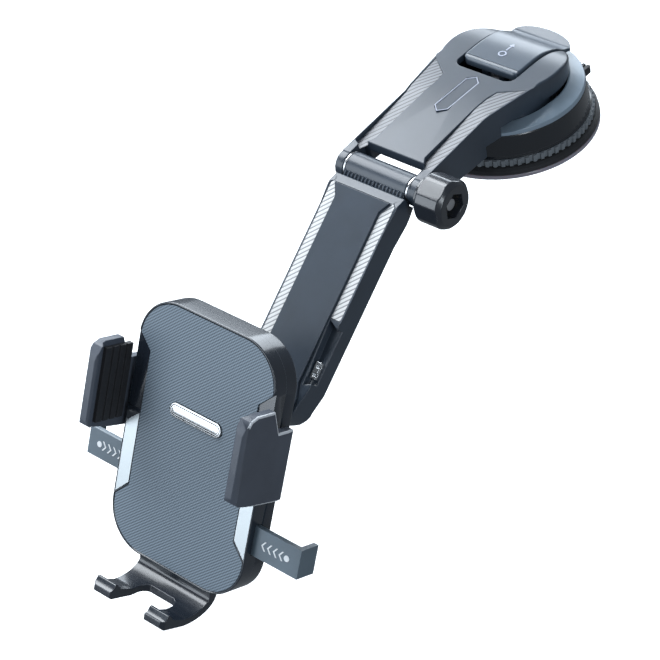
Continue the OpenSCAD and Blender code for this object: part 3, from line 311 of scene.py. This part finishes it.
MATERIALS = {
    "gel_clear_grey": moulded("gel_clear_grey", (0.26, 0.25, 0.30), 0.22, grain=0.6, bump=0.01,
                              **{"Coat Weight": 0.6, "Coat Roughness": 0.08, "Subsurface Weight": 0.1}),
    "black_rubber": rubber("black_rubber", (0.012, 0.013, 0.016), 0.52),
    "black_plastic": moulded("black_plastic", (0.010, 0.013, 0.018), 0.22, bump=0.002,
                             **{"Coat Weight": 0.5, "Coat Roughness": 0.12}),
    "collar_grey": moulded("collar_grey", (0.23, 0.30, 0.37), 0.34, **{"Coat Weight": 0.2}),
    "frame_grey": moulded("frame_grey", (0.030, 0.043, 0.062), 0.36,
                          **{"Coat Weight": 0.25, "Coat Roughness": 0.25}),
    "lever_grey": moulded("lever_grey", (0.050, 0.070, 0.096), 0.33,
                          **{"Coat Weight": 0.3, "Coat Roughness": 0.22}),
    "dark_weave": twill("dark_weave", (0.040, 0.044, 0.052), (0.19, 0.20, 0.22), 0.42,
                        (0.47, 0.88, 0), (0, 0, 1), 1.9, 0.34),
    "silver_weave": twill("silver_weave", (0.26, 0.27, 0.28), (0.76, 0.76, 0.76), 0.42,
                          ACROSS * 0.71 + ARM_UP * 0.70, ARM_OUT, 1.6, 0.36),
    "bright_trim": metal("bright_trim", (0.70, 0.72, 0.74), 0.2),
    "steel": metal("steel", (0.60, 0.61, 0.63), 0.28),
    "brass": metal("brass", (0.78, 0.60, 0.28), 0.3),
    "knob_black": moulded("knob_black", (0.020, 0.024, 0.032), 0.26, bump=0.006,
                          **{"Coat Weight": 0.6, "Coat Roughness": 0.12}),
    "mesh_rubber": mesh_rubber("mesh_rubber"),
    "acetal_white": moulded("acetal_white", (0.62, 0.62, 0.58), 0.4),
    "mark_white": moulded("mark_white", (0.80, 0.83, 0.86), 0.4, tone=0.05),
    "slide_grey": moulded("slide_grey", (0.105, 0.145, 0.180), 0.34, **{"Coat Weight": 0.2}),
    "spring_steel": metal("spring_steel", (0.55, 0.56, 0.58), 0.25),
    # Finishes of single pieces, beyond the record's own slots
    "trim_silver": metal("trim_silver", (0.55, 0.59, 0.61), 0.34, brush=ACROSS),
    "housing_black": moulded("housing_black", (0.015, 0.021, 0.031), 0.25, bump=0.0015,
                             **{"Coat Weight": 0.5, "Coat Roughness": 0.14}),
    "jaw_grey": moulded("jaw_grey", (0.066, 0.078, 0.102), 0.5, **{"Coat Weight": 0.1}),
    # Painted highlight: a light grey for the jaws' rounded cut edges, standing in for the reflection they would
    # catch
    "painted_highlight_edge": moulded("painted_highlight_edge", (0.62, 0.65, 0.69), 0.3, tone=0.04, **{"Coat Weight": 0.3}),
    "label_line": moulded("label_line", (0.40, 0.43, 0.52), 0.35, tone=0.05),
    "fin_grey": moulded("fin_grey", (0.16, 0.18, 0.20), 0.3, bump=0.002, **{"Coat Weight": 0.4}),
}

# Nodes whose finish differs a little from the rest of their slot
FINISH = {"side_trims": "trim_silver", "front_frame": "housing_black", "back_shell": "housing_black",
          "foot_bracket": "housing_black", "jaw_left": "jaw_grey", "jaw_right": "jaw_grey",
          "label_plate": "frame_grey", "lever_mark": "label_line", "fin_ring": "fin_grey"}


def paint_node(name):
    """Gives a CAD node its finish."""
    mesh = NODES[name].data
    mesh.materials.clear()
    mesh.materials.append(MATERIALS[FINISH.get(name, SLOTS[name])])


# Edge radius of each softened node, in millimetres
EDGES = {"cup_collar": 0.3, "suction_cup": 0.25, "gel_pad": 0.35, "arm_panel": 0.2,
         "face_pad": 0.2, "jaw_pad_left": 0.2, "jaw_pad_right": 0.2,
         "ring_nut": 0.35, "ball_socket": 0.2, "ball_stud": 0.2, "arm_cover": 0.2, "neck_cover": 0.2,
         "base_strip_left": 0.1, "base_strip_right": 0.1, "arm_strip_left": 0.1, "arm_strip_right": 0.1,
         "hinge_bolt": 0.25, "carriage_left": 0.35, "carriage_right": 0.35, "arm_clip": 0.15,
         "hinge_washers": 0.15}


def soften(name, radius):
    """Rounds a CAD node's sharp edges without changing its mesh."""
    node = NODES[name]
    own = node.data.attributes.get("custom_normal")
    if own:
        node.data.attributes.remove(own)
    weld = node.modifiers.new("weld", "WELD")
    weld.merge_threshold = 0.002 * MM
    merge = node.modifiers.new("merge_flats", "DECIMATE")
    merge.decimate_type = "DISSOLVE"
    merge.angle_limit = math.radians(0.6)
    bevel = node.modifiers.new("soft_edges", "BEVEL")
    bevel.width = radius * MM
    bevel.segments = 3
    bevel.limit_method = "ANGLE"
    bevel.angle_limit = math.radians(32)
    bevel.use_clamp_overlap = True
    bevel.miter_outer = "MITER_ARC"
    weigh = node.modifiers.new("even_shading", "WEIGHTED_NORMAL")
    weigh.weight = 80
    for polygon in node.data.polygons:
        polygon.use_smooth = True


def copy_of(node, merge_flats=True):
    """A joined-up copy of a CAD node's mesh, to rework into a new piece."""
    bm = bmesh.new()
    bm.from_mesh(NODES[node].data)
    bmesh.ops.remove_doubles(bm, verts=bm.verts, dist=0.002 * MM)
    if merge_flats:
        bmesh.ops.dissolve_limit(bm, angle_limit=math.radians(0.6), verts=bm.verts, edges=bm.edges)
    bm.normal_update()
    return bm


def local(point):
    """A point in the cradle's frame, in millimetres: across, along and out of its face."""
    point = (point - FACE) / MM
    return Vector((point.dot(ACROSS), point.dot(ALONG), point.dot(OUT)))


def middle(edge):
    """The point halfway along an edge."""
    return (edge.verts[0].co + edge.verts[1].co) / 2


def runs(edge, direction):
    """How much an edge runs along a direction, from 0 to 1."""
    return abs((edge.verts[1].co - edge.verts[0].co).normalized().dot(direction))


def round_edges(bm, radius, where=None, segments=3, over=32, material=-1):
    """Rounds the outward edges that are sharper than an angle, in degrees, and pass a test."""
    edges = [edge for edge in bm.edges if edge.is_manifold and edge.is_convex
             and edge.calc_face_angle(0) > math.radians(over) and (where is None or where(edge))]
    bmesh.ops.bevel(bm, geom=edges, offset=radius * MM, offset_type="OFFSET", segments=segments, profile=0.5,
                    affect="EDGES", clamp_overlap=False, material=material, miter_outer="ARC")


def add_piece(name, bm, node, materials, smooth=38):
    """Makes a finished piece that stands for a CAD node and moves with its body."""
    mesh = bpy.data.meshes.new(name)
    low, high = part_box(node)
    # A rounded corner never leaves the box of the node it stands for
    for vertex in bm.verts:
        vertex.co = [min(max(vertex.co[i], low[i]), high[i]) for i in range(3)]
    bmesh.ops.remove_doubles(bm, verts=bm.verts, dist=0.001 * MM)
    bmesh.ops.recalc_face_normals(bm, faces=bm.faces)
    bm.to_mesh(mesh)
    bm.free()
    for material in materials:
        mesh.materials.append(MATERIALS[material])
    for polygon in mesh.polygons:
        polygon.use_smooth = True
    mesh.set_sharp_from_angle(angle=math.radians(smooth))
    piece = bpy.data.objects.new(name, mesh)
    bpy.context.scene.collection.objects.link(piece)
    weigh = piece.modifiers.new("even_shading", "WEIGHTED_NORMAL")
    weigh.weight = 80
    weigh.keep_sharp = True
    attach(piece, BODY_OF[node])
    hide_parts(node)
    return piece


def make_head():
    """The base frame with a rounded cap rim and crisp recesses."""
    bm = copy_of("top_frame")
    low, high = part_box("label_plate")
    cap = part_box("top_frame")[1]
    cap_centre = Vector((0, 3 * MM))
    cap_front, rim_width, rim_low = -8 * MM, 1.2 * MM, 23.5 * MM
    margin = MM

    def rim(edge):
        at = middle(edge)
        radius = (at.xy - cap_centre).length
        return at.y > cap_front and radius > cap.x - rim_width and at.z > rim_low and runs(edge, UP) < 0.6

    def near_label(edge):
        at = middle(edge)
        return low.x - margin < at.x < high.x + margin and low.y - margin < at.y < high.y + margin

    round_edges(bm, 1.1, rim, 4)
    round_edges(bm, 0.4, lambda edge: not rim(edge) and not near_label(edge), 3, 40)
    add_piece("head_frame", bm, "top_frame", ["frame_grey"])


def make_lever():
    """The locking lever with a broad soft edge at its front."""
    bm = copy_of("lock_lever")
    crown_low, crown_back, skirt_low = 29.5 * MM, 26 * MM, 26 * MM

    def front(edge):
        at = middle(edge)
        return at.z > crown_low and at.y < crown_back and runs(edge, UP) < 0.5

    round_edges(bm, 1.0, front, 5)
    round_edges(bm, 0.4, lambda edge: middle(edge).z > skirt_low and not front(edge), 3)
    add_piece("lever_grip", bm, "lock_lever", ["lever_grey"])


def make_cradle():
    """The cradle's front with a finely rounded rim, and its back with a soft rear edge."""
    bm = copy_of("front_frame", merge_flats=False)
    rim_low, rear_top = -0.3, -12.2

    def outer_rim(edge):
        at = local(middle(edge))
        outward = ACROSS * at.x + ALONG * at.y
        walls = [face.normal for face in edge.link_faces if abs(face.normal.dot(OUT)) < 0.2]
        return at.z > rim_low and any(normal.dot(outward) > 0 for normal in walls)

    round_edges(bm, 0.4, outer_rim, 3)
    add_piece("cradle_front", bm, "front_frame", ["housing_black"])
    bm = copy_of("back_shell", merge_flats=False)
    round_edges(bm, 0.8, lambda edge: local(middle(edge)).z < rear_top and runs(edge, OUT) < 0.5, 4)
    add_piece("cradle_back", bm, "back_shell", ["housing_black"])


def make_jaw(side):
    """A clamp jaw: satin plate whose rounded cut edge around its outer face carries a light grey painted
    highlight.
    """
    node = "jaw_" + side
    bm = copy_of(node)
    plate = max(abs(local(v.co).x) for v in bm.verts)
    upper, lip_low, foot_of_plate = 20, 3, -6
    rim_width, plate_thick = 0.3, 1.3

    # The shown rim edges of the outer plate, which get the painted highlight
    def bright(edge):
        at = local(middle(edge))
        shown = at.y > upper or at.z < lip_low or side == "left"
        return shown and abs(at.x) > plate - rim_width and at.z > foot_of_plate and runs(edge, ACROSS) < 0.3

    # Rounds those edges and gives them material 1, the light grey painted highlight
    round_edges(bm, 0.75, bright, 2, 25, material=1)
    round_edges(bm, 0.3, lambda edge: abs(local(middle(edge)).x) < plate - plate_thick, 3)
    add_piece("clamp_" + node, bm, node, ["jaw_grey", "painted_highlight_edge"])


def make_foot():
    """The foot hook with soft edges."""
    bm = copy_of("foot_bracket")
    round_edges(bm, 0.25, None, 3)
    add_piece("foot_hook", bm, "foot_bracket", ["housing_black"])


def make_arm():
    """The arm's body with evenly softened outer edges."""
    bm = copy_of("arm_body", merge_flats=False)
    round_edges(bm, 0.45, None, 3, 40)
    add_piece("arm_shell", bm, "arm_body", ["frame_grey"])


def make_spring(side):
    """A return spring: the CAD spring as a piece with a mesh of its own."""
    node = "clamp_spring_" + side
    spring = add_piece("return_spring_" + side, copy_of(node, merge_flats=False), node, ["spring_steel"])
    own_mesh(spring)


def make_knob():
    """The hinge knob with fine rounding between its flats."""
    bm = copy_of("knob")
    round_edges(bm, 0.35, None, 3, 24)
    add_piece("hinge_knob", bm, "knob", ["knob_black"])


def loft(bm, rings, material=0, close=True):
    """Joins rings of equal length with quads, and caps both ends."""
    made = [[bm.verts.new(point) for point in ring] for ring in rings]
    for lower, upper in zip(made, made[1:]):
        count = len(lower)
        for i in range(count):
            face = bm.faces.new((lower[i], lower[(i + 1) % count], upper[(i + 1) % count], upper[i]))
            face.material_index = material
    bm.faces.new(reversed(made[0]))
    bm.faces.new(made[-1])


def make_badge():
    """A polished pill with two outline grooves and a softly crowned middle."""
    points = [local(v.co) for v in NODES["badge"].data.vertices]
    u = max(p.x for p in points)
    v0, v1 = min(p.y for p in points), max(p.y for p in points)
    low, top = min(p.z for p in points), max(p.z for p in points)
    radius = (v1 - v0) / 2
    straight = u - radius
    steps = 16

    def ring(inset, height):
        r = radius - inset
        loop = []
        for end, turn in ((1, -90), (-1, 90)):
            for i in range(steps + 1):
                angle = math.radians(turn + 180 * i / steps)
                loop.append(FACE + MM * (ACROSS * (end * straight + r * math.cos(angle))
                                         + ALONG * ((v0 + v1) / 2 + r * math.sin(angle)) + OUT * height))
        return loop

    profile = [(0, low), (0, top - 0.35), (0.12, top - 0.12), (0.35, top), (0.66, top), (0.74, top - 0.35),
               (1.06, top - 0.35), (1.14, top - 0.02), (1.5, top), (1.58, top - 0.22), (1.72, top - 0.22),
               (1.8, top - 0.05), (2.3, top), (radius - 0.05, top)]
    bm = bmesh.new()
    loft(bm, [ring(inset, height) for inset, height in profile])
    for face in bm.faces:
        face.material_index = 1 if top - 0.36 < local(face.calc_center_median()).z < top - 0.1 else 0
    add_piece("badge_pill", bm, "badge", ["bright_trim", "black_plastic"], smooth=30)


def make_label():
    """A blank label plate: a long hexagon with a thin raised light outline and a sunk dark field."""
    low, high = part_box("label_plate")
    half = (high.x - low.x) / 2
    nose = half * 0.95

    def ring(inset, height):
        h, y0, y1 = half - inset, low.y + inset * 1.25, high.y - inset * 1.25
        n = nose * h / half
        points = [(0, y0), (h, y0 + n), (h, y1 - n), (0, y1), (-h, y1 - n), (-h, y0 + n)]
        return [Vector((x, y, high.z + height * MM)) for x, y in points]

    bm = bmesh.new()
    rings = [ring(0.02 * MM, -1.2), ring(0.02 * MM, -0.12), ring(0.1 * MM, -0.03), ring(0.42 * MM, -0.03),
             ring(0.5 * MM, -0.3), ring(0.9 * MM, -0.3), ring(1.0 * MM, -0.22)]
    loft(bm, rings)
    for face in bm.faces:
        face.material_index = 0 if face.calc_center_median().z > high.z - 0.2 * MM else 1
    add_piece("label_blank", bm, "label_plate", ["label_line", "frame_grey"], smooth=30)


add_camera()
add_floor()
add_light("key", (-0.95, 0.25, 1.15), 1.5, (1.2, 1.2), 40, (0.90, 0.95, 1))
add_light("back_glow", (-0.45, 0.95, 0.30), 1.6, (1.5, 0.7), 16, COOL_WHITE)
add_light("front_fill", (-0.50, -0.85, 0.35), 1.6, (1.0, 1.2), 14, COOL_WHITE)
add_light("side_glow", (1.0, -0.35, 0.45), 1.6, (0.3, 1.4), 8, COOL_WHITE)
add_world()
bpy.context.scene.view_settings.view_transform = "Standard"

for name in SLOTS:
    paint_node(name)
for name, radius in EDGES.items():
    soften(name, radius)

make_head()
make_lever()
make_cradle()
for side in ("left", "right"):
    make_jaw(side)
make_foot()
make_arm()
for side in ("left", "right"):
    make_spring(side)
make_knob()
make_badge()
make_label()
